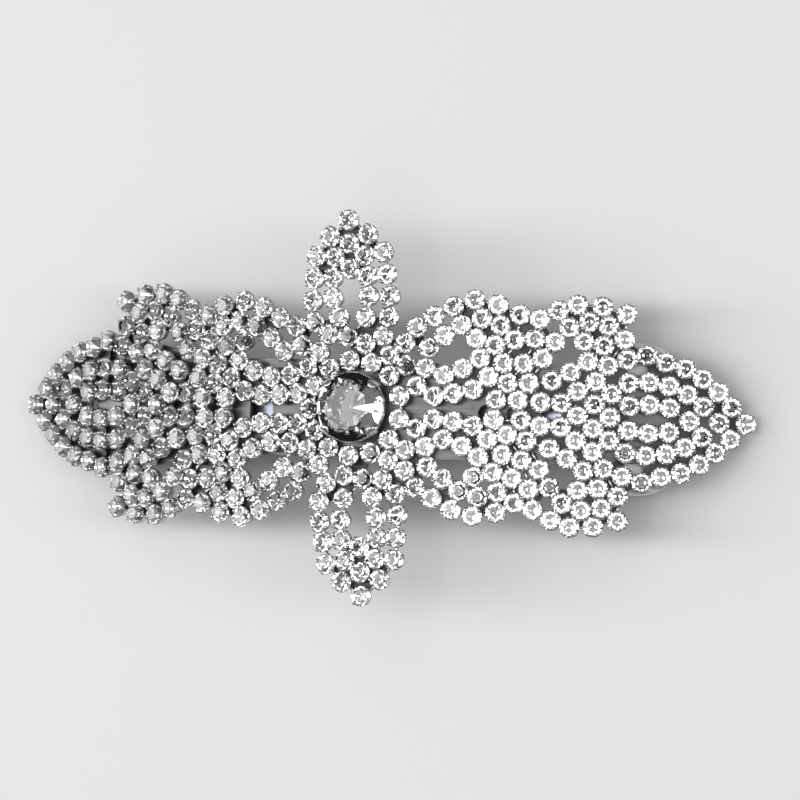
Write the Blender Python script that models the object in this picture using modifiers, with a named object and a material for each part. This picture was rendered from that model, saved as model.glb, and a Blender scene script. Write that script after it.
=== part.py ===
"""Rhinestone hair clip: a domed spray of set crystals on a sprung barrette.

The decoration is made of single rows of crystals in linked metal cups. The rows are bent into
petals and leaves round one large stone, soldered side by side, and curved over a steel clip.
The clip has a base plate, a hinged clasp arm, a bowed tension spring and two pinch tabs.

Units are metres. +X runs along the clip towards the latch, +Y across it, and +Z is up, the way
the crystals face. The origin is on the surface that the clip lies on, under its middle.
"""
import math

import bmesh
import bpy
import numpy as np
from mathutils import Matrix, Vector

MM = 0.001

# The dome: crystals lie on an arc along X, and heights are measured outwards from that arc.
DOME_RADIUS = 110.0 * MM
DOME_TOP = 17.3 * MM

# Small crystals, each in its own cup.
CUP_RADIUS = 1.40 * MM
CUP_FLOOR = -1.2 * MM
CUP_HEIGHT = 1.5 * MM
TABLE_RADIUS = 0.82 * MM
CROWN_HEIGHT = 0.8 * MM
CUP_SIDES = 6
ROW_GAP = 2.95 * MM
LINK_RADIUS = 0.5 * MM
LINK_LEVEL = -0.6 * MM
LINK_BITE = 0.95 * MM

# Petals: two rows, one round the other, each on a pair of arcs.
PETAL_PITCH = 3.3 * MM
OUTER_ARC = 15.4 * MM
OUTER_HALF_WIDTH = 6.0 * MM
OUTER_TIP = 11.5 * MM
INNER_ARC = 9.3 * MM
INNER_HALF_WIDTH = 2.75 * MM
INNER_TIP = 7.9 * MM
INNER_SHOULDER = (6.0 * MM, 2.5 * MM)
INNER_END = (4.3 * MM, 0.0)
INNER_FOOT = (-6.8 * MM, -1.9 * MM)
INNER_ROOT = -5.9 * MM
INNER_SHIFT = 0.3 * MM
FLOWER_TWIST = math.radians(2.0)
END_TWIST = math.radians(4.8)
SIDE_PETAL = (14.7 * MM, 8.0 * MM, math.radians(28.5))
END_PETAL = (0.0, 16.0 * MM, math.radians(90.0))
CORNER_PETAL = (30.25 * MM, 8.4 * MM, math.radians(35.5))
CORNER_TOP = 15.3 * MM
FLOWER_SLOT = 2.15 * MM
CORNER_SLOT = 1.75 * MM
SEAM_TOP = (27.2 * MM, 13.9 * MM)
SEAM_FOOT = (22.8 * MM, 4.3 * MM)
SEAM_COUNT = 4
SEAM_BOW = 0.85 * MM
ROOT_RADIUS = 9.6 * MM
ROOT_ANGLE = math.radians(47.0)
ROOT_PITCH = 3.0 * MM

# Leaves: three nested rows at each end.
LEAF_PITCH = 2.95 * MM
LEAF_OUTER = (42.3 * MM, 8.6 * MM, 16.7 * MM)
LEAF_MIDDLE = (43.2 * MM, 5.3 * MM, 12.1 * MM)
LEAF_INNER = (43.5 * MM, 2.1 * MM, 14.0 * MM)
LEAF_TIPS = (57.7 * MM, 53.9 * MM, 49.5 * MM)
LEAF_ROOTS = (33.2 * MM, 37.8 * MM)

# Large stone and its ring.
RING_COUNT = 13
RING_RADIUS = 7.0 * MM
STONE_RADIUS = 4.75 * MM
STONE_TABLE = 2.1 * MM
STONE_GIRDLE = 1.5 * MM
STONE_TOP = 3.9 * MM
STONE_CULET = -0.6 * MM
SETTING_RADIUS = 5.35 * MM
SETTING_WALL = 0.3 * MM
CLAW_WIDTH = 1.5 * MM

# Clip sheet and steel.
PLATE_TOP = -1.5 * MM
PLATE_THICKNESS = 0.8 * MM
PLATE_HALF_WIDTH = 7.0 * MM
PLATE_LEFT = -46.0 * MM
PLATE_RIGHT = 48.0 * MM
END_WALL = 0.9 * MM
FIT = 0.3 * MM

PIN_S = -42.0 * MM
PIN_HEIGHT = -6.2 * MM
PIN_RADIUS = 0.9 * MM
EYE_RADIUS = 2.0 * MM
EAR_INNER = 4.3 * MM
EAR_THICKNESS = 0.8 * MM
SADDLE_HALF_WIDTH = 5.4 * MM

ARM_RADIUS = 500.0 * MM
ARM_THICKNESS = 0.9 * MM
ARM_HALF_WIDTH = 3.6 * MM
HEAD_HALF_WIDTH = 5.0 * MM
ARM_END = 44.2 * MM
WINDOW_X = 40.6 * MM
WINDOW_LENGTH = 4.0 * MM
WINDOW_HALF_WIDTH = 3.1 * MM

SPRING_REACH = 31.0 * MM
SPRING_THICKNESS = 0.5 * MM
SPRING_HALF_WIDTH = 3.0 * MM
SPRING_END = -2.9 * MM
SPRING_BOW = 2.6 * MM

TAB_PIVOT = (36.5 * MM, 4.7 * MM)
TAB_TOP = PLATE_TOP - PLATE_THICKNESS - FIT
TAB_THICKNESS = 0.7 * MM
HOOK_INNER = 2.0 * MM
HOOK_THICKNESS = 0.7 * MM
HOOK_LENGTH = 1.6 * MM
LIP_REACH = 3.0 * MM
RIVET_RADIUS = 0.9 * MM

MATERIALS = {
    "crystal": ((0.93, 0.93, 0.95), 0.08, 0.25),
    "silver": ((0.72, 0.72, 0.73), 0.25, 1.0),
    "steel": ((0.50, 0.51, 0.52), 0.38, 1.0),
    "spring": ((0.36, 0.38, 0.42), 0.30, 1.0),
}


def clear_scene():
    """Start from an empty scene."""
    for obj in list(bpy.data.objects):
        bpy.data.objects.remove(obj, do_unlink=True)


def new_collection(name):
    """Make a collection in the scene."""
    group = bpy.data.collections.new(name)
    bpy.context.scene.collection.children.link(group)
    return group


def make_material(name, colour, roughness, metallic):
    """Make a plain Principled material."""
    material = bpy.data.materials.new(name)
    material.use_nodes = True
    shader = material.node_tree.nodes["Principled BSDF"]
    shader.inputs["Base Color"].default_value = (*colour, 1.0)
    shader.inputs["Roughness"].default_value = roughness
    shader.inputs["Metallic"].default_value = metallic
    material.diffuse_color = (*colour, 1.0)
    return material


clear_scene()
PARTS = new_collection("rhinestone_hair_clip")
CUTTERS = new_collection("cutters")
PAINT = {name: make_material(name, *look) for name, look in MATERIALS.items()}


# ---------------------------------------------------------------- shared tools

def put(name, bm, material="steel", group=None):
    """Turn a bmesh into a named object."""
    bmesh.ops.recalc_face_normals(bm, faces=bm.faces)
    mesh = bpy.data.meshes.new(name)
    bm.to_mesh(mesh)
    bm.free()
    mesh.materials.append(PAINT[material])
    obj = bpy.data.objects.new(name, mesh)
    (group or PARTS).objects.link(obj)
    return obj


def cutter(name, bm):
    """Make a hidden cutting or joining body."""
    obj = put(name, bm, group=CUTTERS)
    obj.display_type = "WIRE"
    obj.hide_render = True
    return obj


def combine(obj, other, operation):
    """Join or cut with an exact Boolean, applied so that the body can still be bent."""
    step = obj.modifiers.new(other.name, "BOOLEAN")
    step.operation = operation
    step.solver = "EXACT"
    step.object = other
    graph = bpy.context.evaluated_depsgraph_get()
    mesh = bpy.data.meshes.new_from_object(obj.evaluated_get(graph))
    obj.modifiers.clear()
    obj.data = mesh
    return obj


def flat_body(name, outlines, thickness, material="steel", group=None):
    """Extrude closed XY outlines into a flat sheet centred on z = 0."""
    curve = bpy.data.curves.new(name, "CURVE")
    curve.dimensions = "2D"
    curve.fill_mode = "BOTH"
    curve.extrude = thickness / 2.0
    for outline in outlines:
        spline = curve.splines.new("POLY")
        spline.points.add(len(outline) - 1)
        for point, place in zip(spline.points, outline):
            point.co = (place[0], place[1], 0.0, 1.0)
        spline.use_cyclic_u = True
    shape = bpy.data.objects.new(name, curve)
    CUTTERS.objects.link(shape)
    graph = bpy.context.evaluated_depsgraph_get()
    mesh = bpy.data.meshes.new_from_object(shape.evaluated_get(graph))
    bpy.data.objects.remove(shape, do_unlink=True)
    bm = bmesh.new()
    bm.from_mesh(mesh)
    bmesh.ops.remove_doubles(bm, verts=bm.verts, dist=0.001 * MM)
    return put(name, bm, material, group)


def box(centre, size):
    """A bmesh box."""
    bm = bmesh.new()
    bmesh.ops.create_cube(bm, size=1.0)
    bmesh.ops.scale(bm, vec=Vector(size), verts=bm.verts)
    bmesh.ops.translate(bm, vec=Vector(centre), verts=bm.verts)
    return bm


def round_bar(centre, radius, length, sides=20):
    """A bmesh cylinder along Y."""
    bm = bmesh.new()
    turn = Matrix.Rotation(math.pi / 2.0, 4, "X")
    bmesh.ops.create_cone(bm, cap_ends=True, segments=sides, radius1=radius, radius2=radius,
                          depth=length, matrix=Matrix.Translation(Vector(centre)) @ turn)
    return bm


def turned(name, profile, material, steps):
    """Spin an (r, z) profile that starts and ends on the Z axis or closes on itself."""
    bm = bmesh.new()
    points = [bm.verts.new((r, 0.0, z)) for r, z in profile]
    for first, second in zip(points, points[1:]):
        bm.edges.new((first, second))
    if profile[0][0] > 0.0:
        bm.edges.new((points[-1], points[0]))
    mesh = bpy.data.meshes.new(name)
    bm.to_mesh(mesh)
    bm.free()
    mesh.materials.append(PAINT[material])
    obj = bpy.data.objects.new(name, mesh)
    PARTS.objects.link(obj)
    screw = obj.modifiers.new("turn", "SCREW")
    screw.steps = steps
    screw.render_steps = steps
    screw.use_merge_vertices = True
    screw.merge_threshold = 0.001 * MM
    screw.use_smooth_shade = True
    return obj


def dome_point(s, y, height):
    """World place of a point that lies s along the arc, y across it and height above it."""
    angle = s / DOME_RADIUS
    reach = DOME_RADIUS + height
    return Vector((reach * math.sin(angle), y, reach * math.cos(angle) - DOME_RADIUS + DOME_TOP))


def bend_on_dome(obj):
    """Curve a flat body over the dome: x becomes arc length and z becomes height."""
    for vertex in obj.data.vertices:
        vertex.co = dome_point(*vertex.co)
    return obj


def arm_height(x):
    """World height of the middle of the clasp arm."""
    pin = dome_point(PIN_S, 0.0, PIN_HEIGHT)
    return pin.z + (pin.x ** 2 - x ** 2) / (2.0 * ARM_RADIUS)


def divide_along(obj, step, start, end):
    """Cut a flat body into short lengths, so that it bends smoothly."""
    bm = bmesh.new()
    bm.from_mesh(obj.data)
    count = int((end - start) / step)
    for index in range(1, count):
        geometry = bm.verts[:] + bm.edges[:] + bm.faces[:]
        place = Vector((start + index * (end - start) / count, 0.0, 0.0))
        bmesh.ops.bisect_plane(bm, geom=geometry, plane_co=place, plane_no=Vector((1.0, 0.0, 0.0)))
    bmesh.ops.triangulate(bm, faces=[face for face in bm.faces if len(face.verts) > 4])
    bm.to_mesh(obj.data)
    bm.free()
    return obj


def move_origin(obj, place):
    """Put an object's origin at a world place without moving its shape."""
    obj.data.transform(Matrix.Translation(-place))
    obj.location = place


# ---------------------------------------------------------------- where the crystals go

def arc_place(index, pitch, arc, half_width):
    """Crystal on an arc that bulges to half_width at index 0."""
    angle = index * pitch / arc
    return (arc * math.sin(angle), half_width - arc * (1.0 - math.cos(angle)))


def outer_petal_row(upper, lower):
    """Open row round a petal: up one side from its root, over the tip and down the other."""
    side = [arc_place(k, PETAL_PITCH, OUTER_ARC, OUTER_HALF_WIDTH) for k in range(upper, 4)]
    back = [arc_place(k, PETAL_PITCH, OUTER_ARC, OUTER_HALF_WIDTH) for k in range(3, lower - 1, -1)]
    return side + [(OUTER_TIP, 0.0)] + [(x, -y) for x, y in back]


def inner_petal_row():
    """Loop round a petal's opening, with one more crystal in the opening's outer end."""
    side = [arc_place(k, 0.97 * PETAL_PITCH, INNER_ARC, INNER_HALF_WIDTH) for k in (-1, 0, 1)]
    side = [(x + INNER_SHIFT, y) for x, y in side] + [INNER_SHOULDER]
    back = [(x, -y) for x, y in reversed(side)]
    return side + [(INNER_TIP, 0.0)] + back + [(INNER_ROOT, 0.0), INNER_END]


def seam_row():
    """Short row in even steps between a side petal and a corner, bowed towards the corner."""
    run = SEAM_FOOT[0] - SEAM_TOP[0]
    drop = SEAM_FOOT[1] - SEAM_TOP[1]
    length = math.hypot(run, drop)
    row = []
    for k in range(SEAM_COUNT):
        t = k / (SEAM_COUNT - 1)
        bow = 4.0 * SEAM_BOW * t * (1.0 - t) / length
        row.append((SEAM_TOP[0] + t * run - bow * drop, SEAM_TOP[1] + t * drop + bow * run))
    return row


def root_row():
    """Two crystals side by side on a circle round the large stone, between two petals."""
    half = 0.5 * ROOT_PITCH / ROOT_RADIUS
    angles = [ROOT_ANGLE + half, ROOT_ANGLE - half]
    return [(ROOT_RADIUS * math.cos(a), ROOT_RADIUS * math.sin(a)) for a in angles]


def leaf_row(leaf, first, last, tip, root=None):
    """Row round an end leaf, closed where it has a root crystal."""
    centre, half_width, arc = leaf
    side = [arc_place(k, LEAF_PITCH, arc, half_width) for k in range(first, last + 1)]
    side = [(x + centre, y) for x, y in side]
    back = [(x, -y) for x, y in reversed(side)]
    return side + [(tip, 0.0)] + back + ([(root, 0.0)] if root else [])


def place_row(row, petal):
    """Turn a petal's own row onto its place in the spray."""
    x0, y0, angle = petal
    c, s = math.cos(angle), math.sin(angle)
    return [(x0 + c * x - s * y, y0 + s * x + c * y) for x, y in row]


def press_flat(row, lowest, highest=1.0):
    """Flatten a row where it runs along the open slot down the middle."""
    return [(x, min(max(y, lowest), highest)) for x, y in row]


def mirrored(row, x_sign, y_sign):
    """Reflect a first-quadrant row into another quadrant."""
    return [(x_sign * x, y_sign * y) for x, y in row]


def twisted(row, twist=FLOWER_TWIST):
    """Turn a flower row by the flower's small twist, or by the end petals' larger one."""
    return place_row(row, (0.0, 0.0, twist))


def planned_rows():
    """Every row of small crystals by name, with its places and how many of them form a loop."""
    rows = {}
    angles = [math.tau * (k + 0.5) / RING_COUNT for k in range(RING_COUNT)]
    ring = [(RING_RADIUS * math.cos(a), RING_RADIUS * math.sin(a)) for a in angles]
    rows["centre_ring"] = (twisted(ring), RING_COUNT)
    inner = inner_petal_row()
    loop = len(inner) - 1
    for name, y_sign in (("top", 1), ("bottom", -1)):
        outer_row = place_row(outer_petal_row(-2, -2), END_PETAL)
        rows[f"petal_{name}_outer"] = (twisted(mirrored(outer_row, y_sign, y_sign), END_TWIST), 0)
        inner_row = place_row(inner + [INNER_FOOT], END_PETAL)
        rows[f"petal_{name}_inner"] = (twisted(mirrored(inner_row, y_sign, y_sign), END_TWIST), loop)
    for side, x_sign in (("right", 1), ("left", -1)):
        for level, y_sign in (("upper", 1), ("lower", -1)):
            place = f"{level}_{side}"
            outer_row = press_flat(place_row(outer_petal_row(-2, -3), SIDE_PETAL), FLOWER_SLOT)
            rows[f"petal_{place}_outer"] = (twisted(mirrored(outer_row, x_sign, y_sign)), 0)
            inner_row = place_row(inner, SIDE_PETAL)
            rows[f"petal_{place}_inner"] = (twisted(mirrored(inner_row, x_sign, y_sign)), loop)
            outer_row = press_flat(place_row(outer_petal_row(1, -4), CORNER_PETAL),
                                   CORNER_SLOT, CORNER_TOP)
            rows[f"corner_{place}_outer"] = (mirrored(outer_row, x_sign, y_sign), 0)
            inner_row = place_row(inner, CORNER_PETAL)
            rows[f"corner_{place}_inner"] = (mirrored(inner_row, x_sign, y_sign), loop)
            rows[f"seam_{place}"] = (mirrored(seam_row(), x_sign, y_sign), 0)
            rows[f"root_{place}"] = (twisted(mirrored(root_row(), x_sign, y_sign)), 0)
        outer_row = leaf_row(LEAF_OUTER, -1, 5, LEAF_TIPS[0])
        rows[f"leaf_{side}_outer"] = (mirrored(outer_row, x_sign, 1), 0)
        middle_row = leaf_row(LEAF_MIDDLE, -3, 3, LEAF_TIPS[1], LEAF_ROOTS[0])
        rows[f"leaf_{side}_middle"] = (mirrored(middle_row, x_sign, 1), len(middle_row))
        inner_row = leaf_row(LEAF_INNER, -1, 1, LEAF_TIPS[2], LEAF_ROOTS[1])
        rows[f"leaf_{side}_inner"] = (mirrored(inner_row, x_sign, 1), len(inner_row))
    return rows


def packed_rows():
    """Rows after they are pushed side by side, so that no two cups are closer than ROW_GAP."""
    rows = planned_rows()
    places = np.array([place for row, _ in rows.values() for place in row])
    held = np.arange(len(places)) < RING_COUNT
    for _ in range(300):
        step = places[:, None, :] - places[None, :, :]
        distance = np.sqrt((step ** 2).sum(axis=2)) + np.eye(len(places))
        close = distance < ROW_GAP
        np.fill_diagonal(close, False)
        push = np.where(close, 0.26 * (ROW_GAP - distance) / distance, 0.0)
        move = (push[:, :, None] * step).sum(axis=1)
        move[held] = 0.0
        places = places + move
    result = {}
    start = 0
    for name, (row, loop) in rows.items():
        result[name] = (places[start:start + len(row)], loop)
        start += len(row)
    return result


# ---------------------------------------------------------------- crystal rows

def nearest_cup(row, index, chain):
    """Index of the nearest cup in the row's chain, and of the later one when two are as near."""
    gaps = [round(float(np.hypot(*(row[k] - row[index]))) / MM, 1) for k in range(chain)]
    return max(range(chain), key=lambda k: (-gaps[k], k))


def neighbours(row, loop):
    """Index pairs of cups that a link joins: along the chain, and from each crystal beside it."""
    chain = loop or len(row)
    pairs = [(k, k + 1) for k in range(chain - 1)]
    if loop:
        pairs.append((loop - 1, 0))
    return pairs + [(nearest_cup(row, k, chain), k) for k in range(chain, len(row))]


def row_heading(row, index, loop):
    """Direction in which a row runs at one crystal."""
    chain = loop or len(row)
    if index >= chain:
        before, after = nearest_cup(row, index, chain), index
    elif loop:
        before, after = (index - 1) % loop, (index + 1) % loop
    else:
        before, after = max(index - 1, 0), min(index + 1, chain - 1)
    step = row[after] - row[before]
    return math.atan2(step[1], step[0])


def cups_body(name, row, loop):
    """All the cups of a row with their crystals, still apart from each other."""
    bm = bmesh.new()
    for index, (x, y) in enumerate(row):
        turn = Matrix.Rotation(row_heading(row, index, loop), 4, "Z")
        middle = CUP_FLOOR + (CUP_HEIGHT + CROWN_HEIGHT) / 2.0
        place = Matrix.Translation((x, y, middle)) @ turn
        bmesh.ops.create_cone(bm, cap_ends=True, segments=CUP_SIDES, radius1=CUP_RADIUS,
                              radius2=TABLE_RADIUS, depth=CUP_HEIGHT + CROWN_HEIGHT, matrix=place)
    return put(name, bm, "crystal")


def links_body(name, row, loop):
    """The small bars that join the cups of a row."""
    bm = bmesh.new()
    for first, second in neighbours(row, loop):
        step = row[second] - row[first]
        length = float(np.hypot(*step)) - 2.0 * LINK_BITE
        middle = (row[first] + row[second]) / 2.0
        place = Matrix.Translation((middle[0], middle[1], LINK_LEVEL))
        turn = Matrix.Rotation(math.atan2(step[1], step[0]), 4, "Z")
        lie_down = Matrix.Rotation(math.pi / 2.0, 4, "Y")
        bmesh.ops.create_cone(bm, cap_ends=True, segments=3, radius1=LINK_RADIUS,
                              radius2=LINK_RADIUS, depth=length, matrix=place @ turn @ lie_down)
    return cutter(name, bm)


def make_row(name, row, loop):
    """One row of set crystals, linked and curved over the dome."""
    obj = cups_body(name, row, loop)
    combine(obj, links_body(f"{name}_links", row, loop), "UNION")
    return bend_on_dome(obj)


# ---------------------------------------------------------------- large stone

def make_centre_stone():
    """The large faceted stone: pavilion, girdle, crown and flat table."""
    girdle = 0.35 * MM
    profile = [(0.0, STONE_TOP), (STONE_TABLE, STONE_TOP), (STONE_RADIUS, STONE_GIRDLE + girdle),
               (STONE_RADIUS, STONE_GIRDLE), (0.0, STONE_CULET)]
    obj = turned("centre_stone", profile, "crystal", 16)
    obj.modifiers["turn"].use_smooth_shade = False
    obj.location = (0.0, 0.0, DOME_TOP)
    return obj


def make_centre_setting():
    """The large stone's cup: a turned dish with four claws folded over the crown."""
    inner = SETTING_RADIUS - SETTING_WALL
    profile = [(0.0, CUP_FLOOR + 0.3 * MM), (3.1 * MM, CUP_FLOOR + 0.3 * MM),
               (inner, STONE_GIRDLE - FIT), (inner, STONE_GIRDLE + 0.4 * MM),
               (SETTING_RADIUS, STONE_GIRDLE + 0.4 * MM), (SETTING_RADIUS, 0.6 * MM),
               (3.9 * MM, CUP_FLOOR), (0.0, CUP_FLOOR)]
    obj = turned("centre_setting", profile, "silver", 20)
    graph = bpy.context.evaluated_depsgraph_get()
    mesh = bpy.data.meshes.new_from_object(obj.evaluated_get(graph))
    obj.modifiers.clear()
    obj.data = mesh
    for index in range(4):
        turn = Matrix.Rotation(math.tau * (index + 0.5) / 4.0, 4, "Z")
        combine(obj, claw(index, turn), "UNION")
    obj.location = (0.0, 0.0, DOME_TOP)
    return obj


def claw(index, turn):
    """One claw of the large setting: a post on the wall and a tip folded over the crown."""
    post_place = Matrix.Translation((SETTING_RADIUS - 0.1 * MM, 0.0, STONE_GIRDLE + 0.35 * MM))
    post_size = Matrix.Diagonal((0.56 * MM, CLAW_WIDTH, 1.5 * MM, 1.0))
    post = cutter(f"claw_post_{index}", unit_box(turn @ post_place @ post_size))
    tip_place = Matrix.Translation((SETTING_RADIUS - 0.42 * MM, 0.0, STONE_GIRDLE + 1.18 * MM))
    lean = Matrix.Rotation(math.radians(30.0), 4, "Y")
    tip_size = Matrix.Diagonal((1.2 * MM, 0.9 * CLAW_WIDTH, 0.34 * MM, 1.0))
    tip = cutter(f"claw_tip_{index}", unit_box(turn @ tip_place @ lean @ tip_size))
    return combine(post, tip, "UNION")


def unit_box(matrix):
    """A unit cube put through a matrix."""
    bm = bmesh.new()
    bmesh.ops.create_cube(bm, size=1.0, matrix=matrix)
    return bm


# ---------------------------------------------------------------- clip

def plate_edge():
    """Upper edge of the base plate from the hinge end to the latch end."""
    flare = [(PLATE_LEFT, 6.0 * MM), (-44.0 * MM, 8.4 * MM), (-40.5 * MM, 9.5 * MM),
             (-36.5 * MM, 9.5 * MM), (-32.0 * MM, 8.5 * MM), (-27.0 * MM, PLATE_HALF_WIDTH)]
    return flare + [(30.0 * MM, PLATE_HALF_WIDTH), (46.0 * MM, 6.2 * MM), (PLATE_RIGHT, 6.0 * MM)]


def slot(centre, half_length, half_width, corner=4):
    """Closed outline of a slot with round ends."""
    points = []
    for end in (1, -1):
        for k in range(corner + 1):
            angle = end * math.pi / 2.0 * (1.0 if end < 0 else -1.0) + math.pi * k / corner
            angle = angle if end > 0 else angle + math.pi
            x = centre + end * (half_length - half_width) + half_width * math.cos(angle)
            points.append((x, half_width * math.sin(angle)))
    return points


def rectangle(x0, x1, half_width):
    """Closed outline of a rectangle across the middle line."""
    return [(x0, -half_width), (x1, -half_width), (x1, half_width), (x0, half_width)]


def ring_outline(x, y, radius, count=12):
    """Closed round outline."""
    angles = [math.tau * k / count for k in range(count)]
    return [(x + radius * math.cos(a), y + radius * math.sin(a)) for a in angles]


def make_base_plate():
    """Curved steel strip under the crystals, with its slots, ribs and turned-down end."""
    edge = plate_edge()
    outline = edge + [(x, -y) for x, y in reversed(edge)]
    holes = [slot(-27.0 * MM, 5.0 * MM, 1.1 * MM), rectangle(-17.6 * MM, -13.8 * MM, 1.7 * MM),
             slot(19.6 * MM, 1.4 * MM, 1.2 * MM), slot(27.0 * MM, 4.6 * MM, 1.0 * MM)]
    holes += [ring_outline(TAB_PIVOT[0], side * TAB_PIVOT[1], RIVET_RADIUS + FIT)
              for side in (1, -1)]
    obj = flat_body("base_plate", [outline] + holes, PLATE_THICKNESS)
    obj.data.transform(Matrix.Translation((0.0, 0.0, PLATE_TOP - PLATE_THICKNESS / 2.0)))
    for side in (1, -1):
        rib = box((14.0 * MM, side * 0.62 * MM, PLATE_TOP), (7.0 * MM, 0.42 * MM, 0.4 * MM))
        combine(obj, cutter(f"rib_{side}", rib), "UNION")
    divide_along(obj, 6.0 * MM, PLATE_LEFT, PLATE_RIGHT)
    bend_on_dome(obj)
    corner = dome_point(PLATE_RIGHT - END_WALL / 2.0, 0.0, PLATE_TOP - PLATE_THICKNESS / 2.0)
    wall = box((corner.x, 0.0, corner.z / 2.0), (END_WALL, 12.0 * MM, corner.z))
    return combine(obj, cutter("end_wall", wall), "UNION")


def sheet_side(name, outline, centre_y, thickness, group=CUTTERS):
    """Extrude an XZ outline into an upright sheet centred on a value of Y."""
    obj = flat_body(name, [outline], thickness, group=group)
    obj.data.transform(Matrix.Rotation(math.pi / 2.0, 4, "X"))
    obj.data.transform(Matrix.Translation((0.0, centre_y, 0.0)))
    obj.display_type = "WIRE"
    obj.hide_render = True
    return obj


def make_hinge_bracket():
    """Saddle under the hinge end of the plate, with two ears that hold the pin."""
    top = PLATE_TOP - PLATE_THICKNESS - FIT
    thickness = 0.7 * MM
    saddle = rectangle(-46.0 * MM, -37.0 * MM, SADDLE_HALF_WIDTH)
    obj = flat_body("hinge_bracket", [saddle], thickness)
    obj.data.transform(Matrix.Translation((0.0, 0.0, top - thickness / 2.0)))
    divide_along(obj, 3.0 * MM, -46.0 * MM, -37.0 * MM)
    bend_on_dome(obj)
    pin = dome_point(PIN_S, 0.0, PIN_HEIGHT)
    left = dome_point(-45.6 * MM, 0.0, top - 0.6 * thickness)
    right = dome_point(-37.4 * MM, 0.0, top - 0.6 * thickness)
    outline = [(left.x, left.z), (right.x, right.z), (pin.x + 3.4 * MM, pin.z - 1.0 * MM),
               (pin.x + 2.6 * MM, 0.0), (pin.x - 3.6 * MM, 0.0), (pin.x - 4.4 * MM, pin.z - 1.0 * MM)]
    for side in (1, -1):
        ear = sheet_side(f"ear_{side}", outline, side * (EAR_INNER + EAR_THICKNESS / 2.0),
                         EAR_THICKNESS)
        combine(obj, ear, "UNION")
    bore = cutter("ear_bore", round_bar(pin, PIN_RADIUS + FIT, 14.0 * MM))
    return combine(obj, bore, "DIFFERENCE")


def make_hinge_pin():
    """Pin with a peened head at each end."""
    pin = dome_point(PIN_S, 0.0, PIN_HEIGHT)
    half = EAR_INNER + EAR_THICKNESS + FIT
    head = 0.6 * MM
    profile = [(0.0, half + head), (1.4 * MM, half + head), (1.6 * MM, half), (PIN_RADIUS, half),
               (PIN_RADIUS, -half), (1.6 * MM, -half), (1.4 * MM, -half - head), (0.0, -half - head)]
    obj = turned("hinge_pin", profile, "steel", 20)
    obj.location = pin
    obj.rotation_euler = (math.pi / 2.0, 0.0, 0.0)
    return obj


def make_clasp_arm():
    """Lower bar that closes the clip: rolled eye on the pin, long strip, windowed head."""
    pin = dome_point(PIN_S, 0.0, PIN_HEIGHT)
    edge = [(pin.x, ARM_HALF_WIDTH), (34.0 * MM, ARM_HALF_WIDTH), (36.5 * MM, HEAD_HALF_WIDTH),
            (43.2 * MM, HEAD_HALF_WIDTH), (ARM_END, 4.0 * MM)]
    outline = edge + [(x, -y) for x, y in reversed(edge)]
    window = rectangle(WINDOW_X - WINDOW_LENGTH / 2.0, WINDOW_X + WINDOW_LENGTH / 2.0,
                       WINDOW_HALF_WIDTH)
    holes = [slot(-24.0 * MM, 7.0 * MM, 1.3 * MM), slot(24.0 * MM, 7.0 * MM, 1.3 * MM), window]
    obj = flat_body("clasp_arm", [outline] + holes, ARM_THICKNESS)
    divide_along(obj, 6.0 * MM, pin.x, ARM_END)
    for vertex in obj.data.vertices:
        vertex.co.z += arm_height(vertex.co.x)
    eye = cutter("arm_eye", round_bar(pin, EYE_RADIUS, 2.0 * ARM_HALF_WIDTH))
    combine(obj, eye, "UNION")
    bore = cutter("arm_bore", round_bar(pin, PIN_RADIUS + FIT, 14.0 * MM))
    combine(obj, bore, "DIFFERENCE")
    move_origin(obj, pin)
    return obj


def make_tension_spring():
    """Thin bowed strip under the plate that presses the hair onto the arm."""
    edge = [(-SPRING_REACH, 1.6 * MM), (-SPRING_REACH + 3.0 * MM, SPRING_HALF_WIDTH),
            (SPRING_REACH - 3.0 * MM, SPRING_HALF_WIDTH), (SPRING_REACH, 1.6 * MM)]
    outline = edge + [(x, -y) for x, y in reversed(edge)]
    holes = [slot(0.0, 9.0 * MM, 1.0 * MM)]
    obj = flat_body("tension_spring", [outline] + holes, SPRING_THICKNESS, "spring")
    divide_along(obj, 4.0 * MM, -SPRING_REACH, SPRING_REACH)
    for vertex in obj.data.vertices:
        along = vertex.co.x / SPRING_REACH
        vertex.co.z += SPRING_END - SPRING_BOW * (1.0 - along ** 2)
    return bend_on_dome(obj)


def tab_outline():
    """Outline of one pinch tab on the +Y side, from its root round the finger pad."""
    root = [(34.2 * MM, 2.6 * MM), (34.2 * MM, 8.0 * MM), (36.0 * MM, 10.3 * MM)]
    pad = [(38.5 * MM, 11.1 * MM), (41.5 * MM, 11.2 * MM), (44.5 * MM, 10.8 * MM),
           (46.2 * MM, 10.0 * MM), (46.9 * MM, 8.8 * MM), (46.6 * MM, 7.4 * MM)]
    inside = [(45.2 * MM, 6.4 * MM), (45.0 * MM, HOOK_INNER), (41.2 * MM, HOOK_INNER),
              (40.0 * MM, 2.6 * MM)]
    return root + pad + inside


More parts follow.
